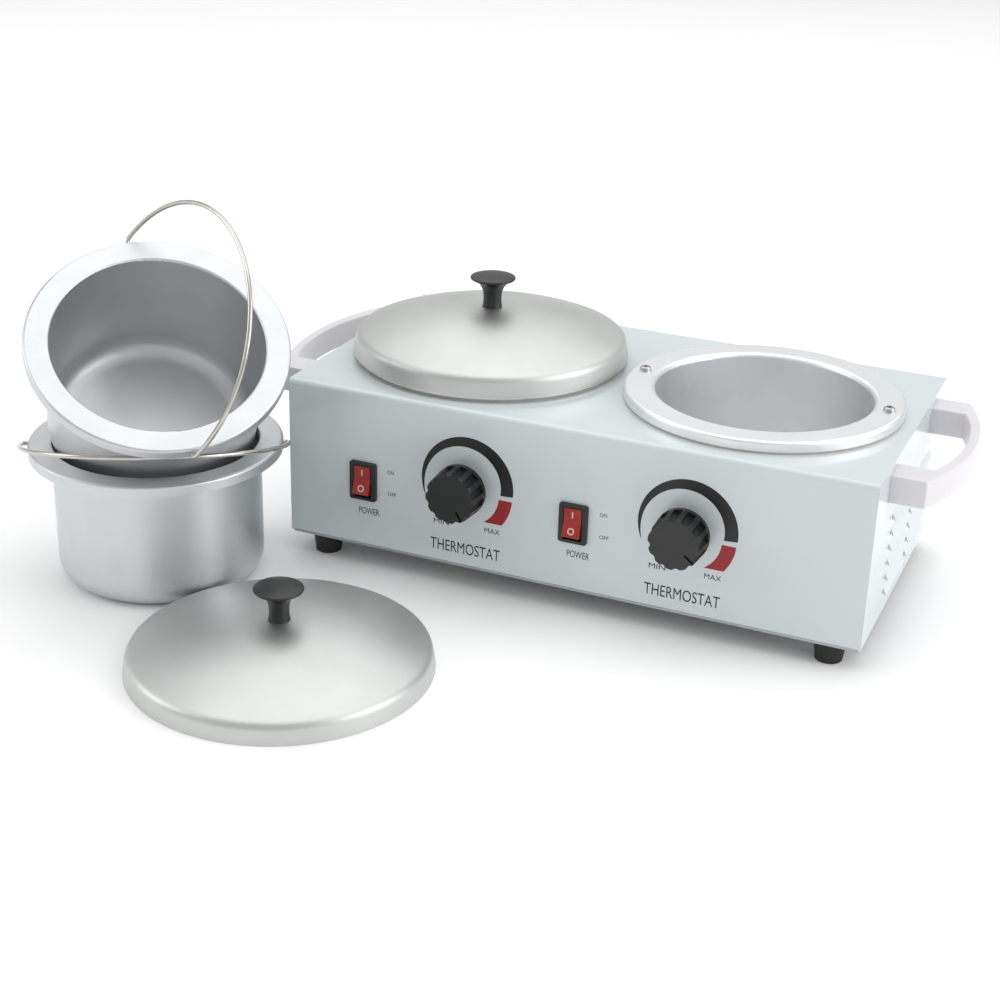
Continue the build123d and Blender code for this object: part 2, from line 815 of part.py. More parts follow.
def rocker(side):
    """Rocker button at its on position: upper half pressed level with the bezel."""
    x = switch_places[side]
    half_throw = radians(rocker_throw / 2)
    outward = (0, -cos(half_throw), sin(half_throw))
    plane = Plane(origin=(x, rocker_y, switch_z), x_dir=outward, z_dir=(-1, 0, 0))
    valley = (rocker_pivot_depth + rocker_proud) / cos(half_throw)
    tip = rocker_height / 2
    tip_out = valley + tip * tan(half_throw)
    with BuildPart() as button:
        with BuildSketch(plane):
            with BuildLine():
                Polyline(
                    (valley, 0),
                    (tip_out, tip),
                    (1.6, tip - 1.0),
                    (-3.0, tip - 3.0),
                    (-3.0, 3.0 - tip),
                    (1.6, 1.0 - tip),
                    (tip_out, -tip),
                    close=True,
                )
            make_face()
        extrude(amount=rocker_width / 2, both=True)
        fillet(edges().filter_by(Axis.X).group_by(Axis.Y)[0], 0.5)
        with BuildSketch(plane):
            Circle(pivot_pin_radius)
        extrude(amount=switch_body_width / 2 - 0.2, both=True)
    save(button, f"rocker_{side}")


switch_blades = (-6.0, 0.0, 6.0)
switch_blade_width = 4.8
switch_back = front_y + switch_body_depth


def switch_terminals():
    """Three blade terminals behind each switch."""
    with BuildPart() as blades:
        with BuildSketch(facing_back(0, switch_z, switch_back)):
            with Locations(*[(-x, z) for x in switch_places.values() for z in switch_blades]):
                Rectangle(switch_blade_width, blade_thickness)
        extrude(amount=blade_length)
    save(blades, "switch_terminals")


# ---------------------------------------------------------------- mains inlet and wiring
inlet_z = base_z + inlet_height
inlet_tail = back_y - inlet_body[2]
inlet_pins_at = ((-7.0, 1.5), (7.0, 1.5), (0.0, -2.5))
inlet_pin_size = (2.0, 4.0)
inlet_tab_length = 8.0
earth_place = (40.0, housing_depth * 0.375)
block_centre = (0.0, 10.0)
block_size = (30.0, 18.0, 14.0)
wire_core = 1.0


def power_inlet():
    """Three-pin appliance inlet: flange outside the back wall, socket sunk into the box."""
    with BuildPart() as inlet:
        with BuildSketch(facing_back(0, inlet_z, back_y)):
            RectangleRounded(inlet_flange[0], inlet_flange[1], 4.0)
            with GridLocations(inlet_screw_spacing, 0, 2, 1):
                Circle(M3["shank"] + hole_clearance, mode=Mode.SUBTRACT)
        extrude(amount=inlet_flange[2])
        with BuildSketch(facing_back(0, inlet_z, back_y)):
            Rectangle(inlet_body[0], inlet_body[1])
        extrude(amount=-inlet_body[2])
        with BuildSketch(facing_back(0, inlet_z, back_y + inlet_flange[2])):
            RectangleRounded(inlet_cavity[0], inlet_cavity[1], 2.0)
        extrude(amount=-inlet_cavity[2], mode=Mode.SUBTRACT)
        with BuildSketch(facing_back(0, inlet_z, back_y)):
            with Locations(*inlet_pins_at):
                Rectangle(*inlet_pin_size)
        extrude(amount=-inlet_body[2], mode=Mode.SUBTRACT)
    save(inlet, "power_inlet")
    with BuildPart() as pins:
        with BuildSketch(facing_back(0, inlet_z, inlet_tail - inlet_tab_length)):
            with Locations(*inlet_pins_at):
                Rectangle(*inlet_pin_size)
        extrude(amount=inlet_tab_length + inlet_body[2] - 1.0)
    save(pins, "inlet_pins")
    half = inlet_screw_spacing / 2
    seats = [facing_back(x, inlet_z, back_y + inlet_flange[2]) for x in (-half, half)]
    place_copies(pan_screw(**M3, length=inlet_flange[2] + 6.0), seats, "inlet_screws")


def terminal_block():
    """Ceramic terminal block on the base, with its clamp screws."""
    x, y = block_centre
    holes = [(x + i * 9.0, y) for i in (-1, 0, 1)]
    with BuildPart() as block:
        with BuildSketch(Plane.XY.offset(floor_z)):
            with Locations(block_centre):
                RectangleRounded(block_size[0], block_size[1], 1.5)
        extrude(amount=block_size[2])
        with BuildSketch(Plane.XY.offset(floor_z + block_size[2])):
            with Locations(*holes):
                Circle(2.2)
        extrude(amount=-5.0, mode=Mode.SUBTRACT)
        with BuildSketch(Plane.XY.offset(floor_z + block_size[2] - 5.0)):
            with Locations(*holes):
                Circle(1.2)
        extrude(amount=-1.0, mode=Mode.SUBTRACT)
    save(block, "terminal_block")
    clamp = pan_screw(shank=1.2, head=2.1, rise=1.8, length=1.0)
    place_copies(clamp, [upright(*hole, floor_z + block_size[2] - 5.0) for hole in holes], "terminal_screws")


def earth_stud():
    """Earthing stud in the base with its nut."""
    with BuildPart() as stud:
        with BuildSketch(upright(*earth_place, base_z)):
            Circle(M4["shank"])
        extrude(amount=14.0)
        with BuildSketch(upright(*earth_place, floor_z)):
            RegularPolygon(nut_m4["across"] / 2, 6, major_radius=False)
        extrude(amount=nut_m4["height"])
    save(stud, "earth_stud")


block_back = block_centre[1] + block_size[1] / 2
block_front = block_centre[1] - block_size[1] / 2
block_wire_z = floor_z + 7.0
inlet_tab_y = inlet_tail - inlet_tab_length
switch_blade_end = switch_back + blade_length
lead_low = switch_z + switch_blades[0]
lead_high = switch_z + switch_blades[2]
thermostat_lead_z = thermostat_bottom - blade_length
band_hook = (well_outer_radius + 1.5) * sqrt(0.5)


def supply_wires():
    """Live and neutral from the inlet to the terminal block."""
    pin_z = inlet_z + inlet_pins_at[0][1]
    with BuildPart() as supply:
        for sign in (-1, 1):
            route = [
                (sign * 7.0, inlet_tab_y, pin_z),
                (sign * 7.0, inlet_tab_y - 9.0, pin_z),
                (sign * 9.0, block_back + 14.0, block_wire_z + 8.0),
                (sign * 9.0, block_back + 7.0, block_wire_z),
                (sign * 9.0, block_back, block_wire_z),
            ]
            add(tube(route, wire_core))
    save(supply, "supply_wires")


def earth_wire():
    """Earth lead from the inlet to a ring tag on the stud."""
    pin_z = inlet_z + inlet_pins_at[2][1]
    tag_z = floor_z + nut_m4["height"]
    route = [
        (0, inlet_tab_y, pin_z),
        (0, inlet_tab_y - 8.0, pin_z),
        (14.0, inlet_tab_y - 9.0, tag_z + 11.0),
        (26.0, inlet_tab_y, tag_z + 2.5),
        (earth_place[0] - 5.0, earth_place[1], tag_z + 2.5),
    ]
    with BuildPart() as earth:
        add(tube(route, wire_core))
        with BuildSketch(upright(*earth_place, tag_z)):
            Circle(5.5)
            Circle(M4["shank"], mode=Mode.SUBTRACT)
        extrude(amount=3.5)
    save(earth, "earth_wire")


def feed_routes():
    """Routes from the block's front to the lower blade of each switch."""
    left, right = switch_places["left"], switch_places["right"]
    return [
        [
            (-5.0, block_front, block_wire_z),
            (-5.0, block_front - 8.0, block_wire_z),
            (-16.0, block_front - 22.0, block_wire_z),
            (-60.0, -40.0, block_wire_z),
            (left, -40.0, block_wire_z),
            (left, -50.0, block_wire_z + 8.0),
            (left, -50.0, lead_low),
            (left, switch_blade_end, lead_low),
        ],
        [
            (5.0, block_front, block_wire_z),
            (5.0, block_front - 8.0, block_wire_z),
            (right, block_front - 22.0, block_wire_z),
            (right, -42.0, block_wire_z + 8.0),
            (right, -48.0, lead_low),
            (right, switch_blade_end, lead_low),
        ],
    ]


def heater_routes(side):
    """Routes from a switch to its thermostat, and from there to its heater band."""
    switch_at = switch_places[side]
    well_at = well_x[side]
    toward = -sides[side]
    near = dial_x[side] - toward * blade_offset
    far = dial_x[side] + toward * blade_offset
    return [
        [
            (switch_at, switch_blade_end, lead_high),
            (switch_at, switch_blade_end + 7.0, lead_high),
            (switch_at + 12.0, switch_blade_end + 1.0, lead_high - 14.0),
            (dial_x[side] - 24.0, thermostat_blade_y + 4.0, thermostat_lead_z - 11.0),
            (near, thermostat_blade_y, thermostat_lead_z - 10.0),
            (near, thermostat_blade_y, thermostat_lead_z),
        ],
        [
            (far, thermostat_blade_y, thermostat_lead_z),
            (far, thermostat_blade_y, thermostat_lead_z - 6.0),
            (well_at + toward * (band_hook - 2.0), thermostat_blade_y + 14.0, thermostat_lead_z - 5.0),
            (well_at + toward * band_hook, -band_hook, thermostat_lead_z),
            (well_at + toward * band_hook, -band_hook, band_bottom),
        ],
    ]


def control_wires():
    """Leads from the block through the switches and the thermostats to the heater bands."""
    routes = feed_routes() + heater_routes("left") + heater_routes("right")
    with BuildPart() as wires:
        for route in routes:
            add(tube(route, wire_core))
    save(wires, "control_wires")


# ---------------------------------------------------------------- lids
lid_frames = {
    "left": upright(well_x["left"], 0, flange_z - lid_hem),
    "right": upright(*floor_lid_place, 0),
}
lid_screw_length = 9.0


def lid_radius_at(height):
    """Outer radius of the tapered skirt, a height above its lower edge."""
    return lid_skirt_radius - (lid_skirt_radius - lid_top_radius) * height / lid_height


def dome_at(radius):
    """Height of the dome's outer face above the lid's lower edge: a parabola from the skirt's top."""
    return lid_height + lid_rise * (1 - (radius / lid_top_radius) ** 2)


lid_crown = dome_at(lid_seat)
lid_hole = M4["shank"] + touch_gap


def lid_line(inwards):
    """Half of the lid's section, from the skirt to the knob's hole, a distance inside its outer face."""
    turn_in = (lid_radius_at(lid_height - lid_shoulder) - inwards, lid_height - lid_shoulder)
    turn_out = (lid_top_radius - lid_shoulder, dome_at(lid_top_radius - lid_shoulder) - inwards)
    half_way = (lid_top_radius / 2, dome_at(lid_top_radius / 2) - inwards)
    slope = 2 * lid_rise * turn_out[0] / lid_top_radius**2
    with BuildLine() as line:
        Line((lid_hole, lid_crown - inwards), (lid_seat, lid_crown - inwards))
        ThreePointArc((lid_seat, lid_crown - inwards), half_way, turn_out)
        Spline(turn_out, turn_in, tangents=((1, -slope), (0.15, -1)))
    return line.line


def lid(side):
    """Spun lid with a shallow dome, a rounded shoulder and a tapered skirt, hemmed at its edge."""
    frame = lid_frames[side]
    outer_line = lid_line(0)
    inner_line = lid_line(lid_sheet)
    hem_top = (lid_radius_at(lid_hem) - 2 * lid_sheet, lid_hem)
    with BuildPart() as cover:
        with BuildSketch(meridian(frame)):
            with BuildLine():
                add(outer_line)
                add(inner_line)
                Polyline(
                    outer_line @ 1,
                    (lid_skirt_radius, 0),
                    (lid_skirt_radius - 2 * lid_sheet, 0),
                    hem_top,
                    (lid_radius_at(lid_hem) - lid_sheet, lid_hem),
                    inner_line @ 1,
                )
                Line(outer_line @ 0, inner_line @ 0)
            make_face()
        revolve(axis=axis_of(frame))
    save(cover, f"lid_{side}")


def lid_knob(side):
    """Trumpet-shaped knob: slim stem that flares to a thin-edged, slightly domed disc."""
    base = lid_frames[side].offset(lid_crown)
    edge_top = lid_knob_height - lid_knob_crown
    edge_low = edge_top - lid_knob_rim
    bore_end = lid_screw_length + 0.5
    with BuildPart() as button:
        with BuildSketch(meridian(base)):
            with BuildLine():
                foot_line = Line((M4["shank"], 0), (lid_knob_foot, 0))
                under = (lid_knob_radius - 0.5, edge_low)
                Spline(
                    foot_line @ 1,
                    (lid_knob_stem, lid_knob_height * 0.27),
                    (lid_knob_neck, lid_knob_height * 0.56),
                    under,
                    tangents=((-0.25, 1), (1, 0.4)),
                )
                edge = ThreePointArc(
                    under,
                    (lid_knob_radius, (edge_low + edge_top) / 2),
                    (lid_knob_radius - 0.4, edge_top),
                )
                top = (0, lid_knob_height)
                Spline(edge @ 1, top, tangents=((-1, 0.3), (-1, 0)))
                Polyline(top, (0, bore_end), (M4["shank"], bore_end), (M4["shank"], 0))
            make_face()
        revolve(axis=axis_of(base))
    save(button, f"lid_knob_{side}")


def lid_screw(side):
    """Screw from under the lid into its knob."""
    top = lid_frames[side].offset(lid_crown - lid_sheet)
    seat = Plane(origin=top.origin, x_dir=top.x_dir, z_dir=-top.z_dir)
    place_copies(pan_screw(**M4, length=lid_sheet + lid_screw_length), [seat], f"lid_screw_{side}")


# ---------------------------------------------------------------- pots and bails
lean = radians(lean_angle)
bearing = radians(lean_bearing)
lean_axis = Vector(sin(lean) * cos(bearing), sin(lean) * sin(bearing), cos(lean))
lower_pot = upright(*pot_place)
lower_bail_dir = Vector(cos(radians(lower_bail_bearing)), sin(radians(lower_bail_bearing)), 0)
setback = lean_setback * pot_radius
upper_foot = Vector(
    pot_place[0] - setback * cos(bearing),
    pot_place[1] - setback * sin(bearing),
    pot_height - 2 * rest_gap,
)
upper_side = UP.cross(lean_axis).normalized()
upper_pot = Plane(origin=upper_foot, x_dir=upper_side, z_dir=lean_axis)
upper_turn = radians(upper_bail_turn)
upper_bail_dir = upper_side * cos(upper_turn) - lean_axis.cross(upper_side) * sin(upper_turn)


def pot(frame, direction, name):
    """Spun wax pot: straight wall, rounded foot, flat rim turned down into a short skirt.

    Two holes through the skirt, on the line of direction, take the bail's pins.
    """
    profile = dish_profile(
        frame,
        pot_rim_radius,
        pot_skirt,
        pot_radius - pot_sheet,
        pot_height,
        pot_sheet,
        pot_sheet,
        [pot_sheet * 1.4, pot_mouth_radius, pot_floor_radius],
    )
    pivot = frame.origin + frame.z_dir * (pot_height - bail_drop)
    drill = (pot_rim_radius - pot_radius) / 2
    with BuildPart() as vessel:
        revolve(profile, axis=axis_of(frame))
        for outward in (direction, -direction):
            start = pivot + outward * (pot_rim_radius - drill)
            with BuildSketch(Plane(origin=start, z_dir=outward)):
                Circle(wire_radius + pin_clearance)
            extrude(amount=2 * drill, mode=Mode.SUBTRACT)
    save(vessel, name)


def bail(frame, direction, swing, name):
    """Wire bail: hooked pins through the skirt, short legs and a half-round bow.

    swing turns the bow about the pins, from upright over the pot.
    """
    pivot = frame.origin + frame.z_dir * (pot_height - bail_drop)
    away = frame.z_dir.cross(direction)
    up = frame.z_dir * cos(swing) + away * sin(swing)
    plane = Plane(origin=pivot, x_dir=direction, z_dir=direction.cross(up))
    straight = bail_radius - bail_bend
    with BuildPart() as wire:
        with BuildLine(plane) as path:
            pin = Line((-bail_pin_end, 0), (-straight, 0))
            bend = JernArc(start=pin @ 1, tangent=pin % 1, radius=bail_bend, arc_size=-90)
            leg = Line(bend @ 1, bend @ 1 + up * (bail_leg - bail_bend))
            bow = JernArc(start=leg @ 1, tangent=leg % 1, radius=bail_radius, arc_size=-180)
            leg_down = Line(bow @ 1, bow @ 1 - up * (bail_leg - bail_bend))
            bend_back = JernArc(start=leg_down @ 1, tangent=leg_down % 1, radius=bail_bend, arc_size=-90)
            Line(bend_back @ 1, pivot + direction * bail_pin_end)
        with BuildSketch(Plane(origin=path.line @ 0, z_dir=path.line % 0)):
            Circle(wire_radius)
        sweep()
    save(wire, name)


# ---------------------------------------------------------------- build
housing_shell()
base_plate()
for side in sides:
    end_panel(side)
    handle(side)
    well(side)
    well_gasket(side)
    heater_band(side)
    thermostat(side)
    sensor(side)
    thermostat_shaft(side)
    knob(side)
    switch_housing(side)
    rocker(side)
    lid(side)
    lid_knob(side)
    lid_screw(side)
for name, place in zip(("front_left", "back_left", "front_right", "back_right"), foot_places):
    foot(f"foot_{name}", place)
foot_fasteners()
base_screws()
handle_screws()
flange_fasteners()
band_bolts()
thermostat_fittings()
bulb_clips()
switch_terminals()
power_inlet()
terminal_block()
earth_stud()
supply_wires()
earth_wire()
control_wires()
pot(lower_pot, lower_bail_dir, "pot_lower")
pot(upper_pot, upper_bail_dir, "pot_upper")
bail(lower_pot, lower_bail_dir, radians(lower_bail_rise - 90), "bail_lower")
bail(upper_pot, upper_bail_dir, radians(upper_bail_tilt), "bail_upper")
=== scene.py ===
"""Looks of a double wax warmer: enamelled heater box, aluminium wells, pots and lids.

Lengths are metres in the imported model's frame: +X along the control panel, +Y to the back, +Z up.
"""
import json
import math

import bmesh
import bpy
import numpy as np
from mathutils import Matrix, Vector


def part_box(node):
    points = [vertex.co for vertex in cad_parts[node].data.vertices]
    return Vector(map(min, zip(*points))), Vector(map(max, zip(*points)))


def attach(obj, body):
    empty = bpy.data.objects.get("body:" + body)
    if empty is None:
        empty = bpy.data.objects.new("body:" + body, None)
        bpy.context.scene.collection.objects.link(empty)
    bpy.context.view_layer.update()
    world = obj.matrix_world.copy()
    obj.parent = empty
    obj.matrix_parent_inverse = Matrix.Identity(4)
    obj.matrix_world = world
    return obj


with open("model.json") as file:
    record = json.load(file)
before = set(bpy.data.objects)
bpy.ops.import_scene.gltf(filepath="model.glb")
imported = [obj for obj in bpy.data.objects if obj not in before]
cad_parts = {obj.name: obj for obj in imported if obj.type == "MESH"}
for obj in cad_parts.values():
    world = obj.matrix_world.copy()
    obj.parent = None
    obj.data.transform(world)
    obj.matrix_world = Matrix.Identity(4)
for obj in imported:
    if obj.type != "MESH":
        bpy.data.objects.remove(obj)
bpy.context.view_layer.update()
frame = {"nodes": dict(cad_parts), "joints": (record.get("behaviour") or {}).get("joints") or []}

MM = 0.001
SIDES = ("left", "right")
nodes = frame["nodes"]
joints = {joint["name"]: joint for joint in frame["joints"]}


# ---------------------------------------------------------------- places read from the frame
def middle(name):
    """Centre of a node's box."""
    low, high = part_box(name)
    return (low + high) / 2


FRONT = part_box("housing_shell")[0].y
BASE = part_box("base_plate")[0].z
PANEL_SHEET = 1.2 * MM
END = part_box("housing_shell")[1].x + PANEL_SHEET  # outer face of an end panel
dials = {side: middle(f"knob_{side}") for side in SIDES}
switches = {side: middle(f"switch_housing_{side}") for side in SIDES}


# ---------------------------------------------------------------- material tools
def linear(hex_colour):
    """sRGB hex to linear RGBA."""
    values = [int(hex_colour[i : i + 2], 16) / 255 for i in (1, 3, 5)]
    return [v / 12.92 if v <= 0.04045 else ((v + 0.055) / 1.055) ** 2.4 for v in values] + [1.0]


def add(material, kind, inputs=None, **settings):
    """Add one node: settings are its properties, inputs its values or the outputs that feed it."""
    made = material.node_tree.nodes.new(kind)
    for key, value in settings.items():
        setattr(made, key, value)
    for key, value in (inputs or {}).items():
        if isinstance(value, bpy.types.NodeSocket):
            material.node_tree.links.new(value, made.inputs[key])
        else:
            made.inputs[key].default_value = value
    return made


def shaded(name, colours, gloss, pattern, shine, height, metallic=0.0, ior=1.5):
    """Material whose colour, roughness and relief follow three patterns.

    pattern mixes the two colours, shine runs between the two roughnesses of gloss, and height is
    a list of (pattern, depth in mm, strength) reliefs, one on top of the other. Each is a
    function of the new material that returns an output.
    """
    material = bpy.data.materials.new(name)
    material.use_nodes = True
    shader = material.node_tree.nodes["Principled BSDF"]
    shader.inputs["Metallic"].default_value = metallic
    if not metallic:
        shader.inputs["IOR"].default_value = ior
    low, high = (linear(colour) for colour in colours)
    colour = add(material, "ShaderNodeMix", {0: pattern(material), 6: low, 7: high}, data_type="RGBA")
    span = {"Value": shine(material), "To Min": gloss[0], "To Max": gloss[1]}
    roughness = add(material, "ShaderNodeMapRange", span)
    link = material.node_tree.links.new
    link(colour.outputs[2], shader.inputs["Base Color"])
    link(roughness.outputs["Result"], shader.inputs["Roughness"])
    normal = None
    for relief, depth, strength in height:
        inputs = {"Height": relief(material), "Distance": depth * MM, "Strength": strength}
        if normal is not None:
            inputs["Normal"] = normal
        normal = add(material, "ShaderNodeBump", inputs).outputs["Normal"]
    link(normal, shader.inputs["Normal"])
    return material, shader


def spots(width, detail=3.0, stretch=(1, 1, 1)):
    """Pattern of soft spots about width mm across, stretched along an axis by its share in stretch."""

    def build(material):
        point = add(material, "ShaderNodeTexCoord").outputs["Object"]
        scaled = add(material, "ShaderNodeMapping", {"Vector": point, "Scale": stretch})
        inputs = {"Vector": scaled.outputs["Vector"], "Scale": 1000 / width, "Detail": detail}
        return add(material, "ShaderNodeTexNoise", inputs).outputs["Fac"]

    return build


def rings(width, centre, turn):
    """Pattern of turned rings about width mm wide, round an axis through centre."""

    def build(material):
        point = add(material, "ShaderNodeTexCoord").outputs["Object"]
        inputs = {"Vector": point, "Location": centre, "Rotation": turn}
        own = add(material, "ShaderNodeMapping", inputs, vector_type="TEXTURE")
        parts = add(material, "ShaderNodeSeparateXYZ", {"Vector": own.outputs["Vector"]})
        flat = add(material, "ShaderNodeCombineXYZ", {"X": parts.outputs["X"], "Y": parts.outputs["Y"]})
        inputs = {0: flat.outputs["Vector"]}
        radius = add(material, "ShaderNodeVectorMath", inputs, operation="LENGTH")
        inputs = {"X": radius.outputs["Value"], "Y": parts.outputs["Z"]}
        polar = add(material, "ShaderNodeCombineXYZ", inputs)
        inputs = {"Vector": polar.outputs["Vector"], "Scale": 1000 / width, "Detail": 2.0}
        return add(material, "ShaderNodeTexNoise", inputs).outputs["Fac"]

    return build


# ---------------------------------------------------------------- materials
def enamelled_steel():
    """White enamel baked on folded steel: a hard gloss with faint orange peel, drawn 2.4 mm wide."""
    relief = [(spots(2.4, 1.0), 0.02, 0.3)]
    material, shader = shaded(
        "enamel_baked_on_steel", ("#CDD5D7", "#D4DADC"), (0.17, 0.25), spots(60), spots(9), relief
    )
    shader.inputs["Coat Weight"].default_value = 0.4
    shader.inputs["Coat Roughness"].default_value = 0.05
    return material


def spun_aluminium(name, colours, centre, turn=(0, 0, 0)):
    """Aluminium spun on a lathe, blasted and clear anodised: a pale matt metal that glitters a little.

    The blasted grit is about 0.1 mm and is drawn 0.6 mm wide, so that it shows.
    """
    relief = [(rings(0.9, centre, turn), 0.05, 0.5), (spots(0.6, 3.0), 0.1, 0.9)]
    gloss = (0.34, 0.5)
    return shaded(name, colours, gloss, spots(20), spots(0.9, 3.0), relief, metallic=1.0)[0]


def brushed_aluminium():
    """Aluminium pressed from brushed sheet and anodised: short straight scratches along X.

    Real scratches are about 0.05 mm wide and are drawn 0.4 mm wide, so that they show.
    """
    scratch = spots(0.4, 3.0, (0.05, 1, 1))
    relief = [(scratch, 0.06, 0.8), (spots(0.6, 3.0), 0.08, 0.7)]
    colours, gloss = ("#C3C5C3", "#D2D4D2"), (0.38, 0.52)
    return shaded("aluminium_brushed", colours, gloss, spots(28), scratch, relief, metallic=1.0)[0]


def moulded_abs():
    """White ABS, injection moulded: smooth, faintly violet beside the enamel, with a soft sheen."""
    relief = [(spots(1.2, 2.0), 0.02, 0.25)]
    colours, gloss = ("#D3D1D6", "#DBD9DE"), (0.28, 0.38)
    material, shader = shaded("abs_moulded", colours, gloss, spots(25), spots(3), relief, ior=1.53)
    shader.inputs["Subsurface Weight"].default_value = 0.05
    return material


def moulded_phenolic():
    """Black phenolic, compression moulded: a satin black with a fine pebble, drawn 0.6 mm wide."""
    relief = [(spots(0.6, 3.0), 0.04, 0.45)]
    colours, gloss = ("#0D0D0E", "#17181A"), (0.28, 0.44)
    return shaded("phenolic_moulded", colours, gloss, spots(6), spots(1.6), relief, ior=1.55)[0]


def moulded_rubber():
    """Black rubber, moulded: matt, with a dusty bloom on its faces."""
    relief = [(spots(0.8, 3.0), 0.05, 0.5)]
    colours, gloss = ("#101011", "#232324"), (0.52, 0.74)
    return shaded("rubber_moulded", colours, gloss, spots(5), spots(2), relief)[0]


def clear_red():
    """Red polycarbonate, moulded and see-through: light sinks in, so it glows under its gloss."""
    relief = [(spots(1.5, 1.0), 0.02, 0.15)]
    colours, gloss = ("#8C1512", "#AE261D"), (0.14, 0.22)
    material, shader = shaded("polycarbonate_red", colours, gloss, spots(4), spots(2), relief, ior=1.58)
    shader.inputs["Subsurface Weight"].default_value = 0.3
    shader.inputs["Subsurface Radius"].default_value = (1.0, 0.15, 0.1)
    shader.inputs["Subsurface Scale"].default_value = 2 * MM
    return material


def drawn_stainless():
    """Stainless wire, drawn: bright, with the fine streaks that the die leaves."""
    relief = [(spots(0.5, 2.0), 0.02, 0.25)]
    colours, gloss = ("#B7B3AC", "#D2CFCA"), (0.13, 0.26)
    return shaded("stainless_drawn", colours, gloss, spots(7), spots(1.2), relief, metallic=1.0)[0]


def metal(name, colours, gloss, crystal):
    """Rolled or plated metal: crystals of the skin, crystal mm across, vary its shade and gloss."""
    relief = [(spots(crystal * 0.3, 2.0), 0.03, 0.25)]
    return shaded(name, colours, gloss, spots(crystal, 4.0), spots(crystal), relief, metallic=1.0)[0]


def plain(name, colours, gloss, mottle, ior=1.5):
    """Plain moulded, fired or printed skin: slight mottling, mottle mm across, and a soft surface."""
    relief = [(spots(mottle * 0.25, 2.0), 0.03, 0.3)]
    return shaded(name, colours, gloss, spots(mottle), spots(mottle * 0.5), relief, ior=ior)[0]


def coat(names, material):
    """Give CAD nodes one material in every slot."""
    for name in names:
        slots = nodes[name].data.materials
        slots.clear()
        slots.append(material)
        nodes[name].data.polygons.foreach_set("material_index", [0] * len(nodes[name].data.polygons))


ENAMEL = enamelled_steel()
ABS = moulded_abs()
PHENOLIC = moulded_phenolic()
RUBBER = moulded_rubber()
RED = clear_red()
STAINLESS = drawn_stainless()
BRUSHED = brushed_aluminium()
ZINC = metal("steel_zinc_plated", ("#A3A6A8", "#CBCDCE"), (0.20, 0.34), 3.0)
GALVANISED = metal("steel_galvanised", ("#9EA3A5", "#B9BDBE"), (0.34, 0.5), 9.0)
BAND = metal("stainless_rolled", ("#8F8D88", "#A9A69F"), (0.3, 0.44), 4.0)
BRASS = metal("brass_turned", ("#B08D4B", "#CFAE6B"), (0.24, 0.38), 2.5)
SILICONE = plain("silicone_moulded", ("#B4AEA3", "#C4BFB4"), (0.5, 0.62), 4.0, 1.41)
STEATITE = plain("steatite_fired", ("#DCD8CC", "#EAE6DC"), (0.3, 0.42), 3.0, 1.6)
SLEEVE = plain("silicone_sleeve", ("#D8D5CB", "#E6E3DA"), (0.55, 0.7), 1.5, 1.41)
BLACK_INK = plain("ink_black_screened", ("#0C0C0D", "#161617"), (0.34, 0.46), 2.0)
RED_INK = plain("ink_red_screened", ("#8E0C1A", "#A31323"), (0.34, 0.46), 2.0)
WHITE_INK = plain("ink_white_pad_printed", ("#DDB0A8", "#EAC8C0"), (0.34, 0.46), 1.0)


# ---------------------------------------------------------------- coats of the CAD pieces
BAIL_PIVOT_HEIGHT = 69 * MM  # above the pot's foot, along its axis
WELL_SHADES = ("#E9EAEB", "#F3F4F5")
POT_SHADES = ("#C9CCCE", "#D8DADC")
POT_AXIS = Vector(joints["pot_upper_lift"]["axis"]).normalized()
POT_TURN = POT_AXIS.to_track_quat("Z", "Y").to_euler()
POT_FOOT = Vector(joints["bail_upper_swing"]["pos_m"]) - POT_AXIS * BAIL_PIVOT_HEIGHT


def both(stem):
    """A piece's two names, left and right."""
    return [f"{stem}_{side}" for side in SIDES]


def coat_nodes():
    """Put each finish on the pieces that are made with it."""
    coat(["housing_shell"] + both("end_panel"), ENAMEL)
    coat(["base_plate", "bulb_clips"], GALVANISED)
    coat(both("handle"), ABS)
    coat([name for name in nodes if name.startswith("foot_") and name.count("_") == 2], RUBBER)
    screws = "foot_screws foot_nuts base_screws handle_screws flange_screws flange_nuts flange_spacers"
    screws += " band_bolts thermostat_nuts inlet_screws terminal_screws earth_stud"
    coat(screws.split() + both("lid_screw") + both("thermostat_shaft"), ZINC)
    coat(both("well_gasket"), SILICONE)
    coat(both("heater_band"), BAND)
    coat(both("knob") + both("lid_knob") + both("thermostat"), PHENOLIC)
    coat(both("switch_housing") + ["power_inlet"], PHENOLIC)
    coat(both("rocker"), RED)
    brass = ["thermostat_bushes", "thermostat_terminals", "switch_terminals", "inlet_pins"]
    coat(brass + both("sensor"), BRASS)
    coat(["bail_lower", "bail_upper"], STAINLESS)
    coat(["terminal_block"], STEATITE)
    coat(["supply_wires", "earth_wire", "control_wires"], SLEEVE)
    coat(both("lid"), BRUSHED)
    for side in SIDES:
        centre = middle(f"well_{side}")
        coat([f"well_{side}"], spun_aluminium(f"aluminium_spun_well_{side}", WELL_SHADES, centre))
    coat(["pot_lower"], spun_aluminium("aluminium_spun_pot_lower", POT_SHADES, middle("pot_lower")))
    coat(["pot_upper"], spun_aluminium("aluminium_spun_pot_upper", POT_SHADES, POT_FOOT, POT_TURN))


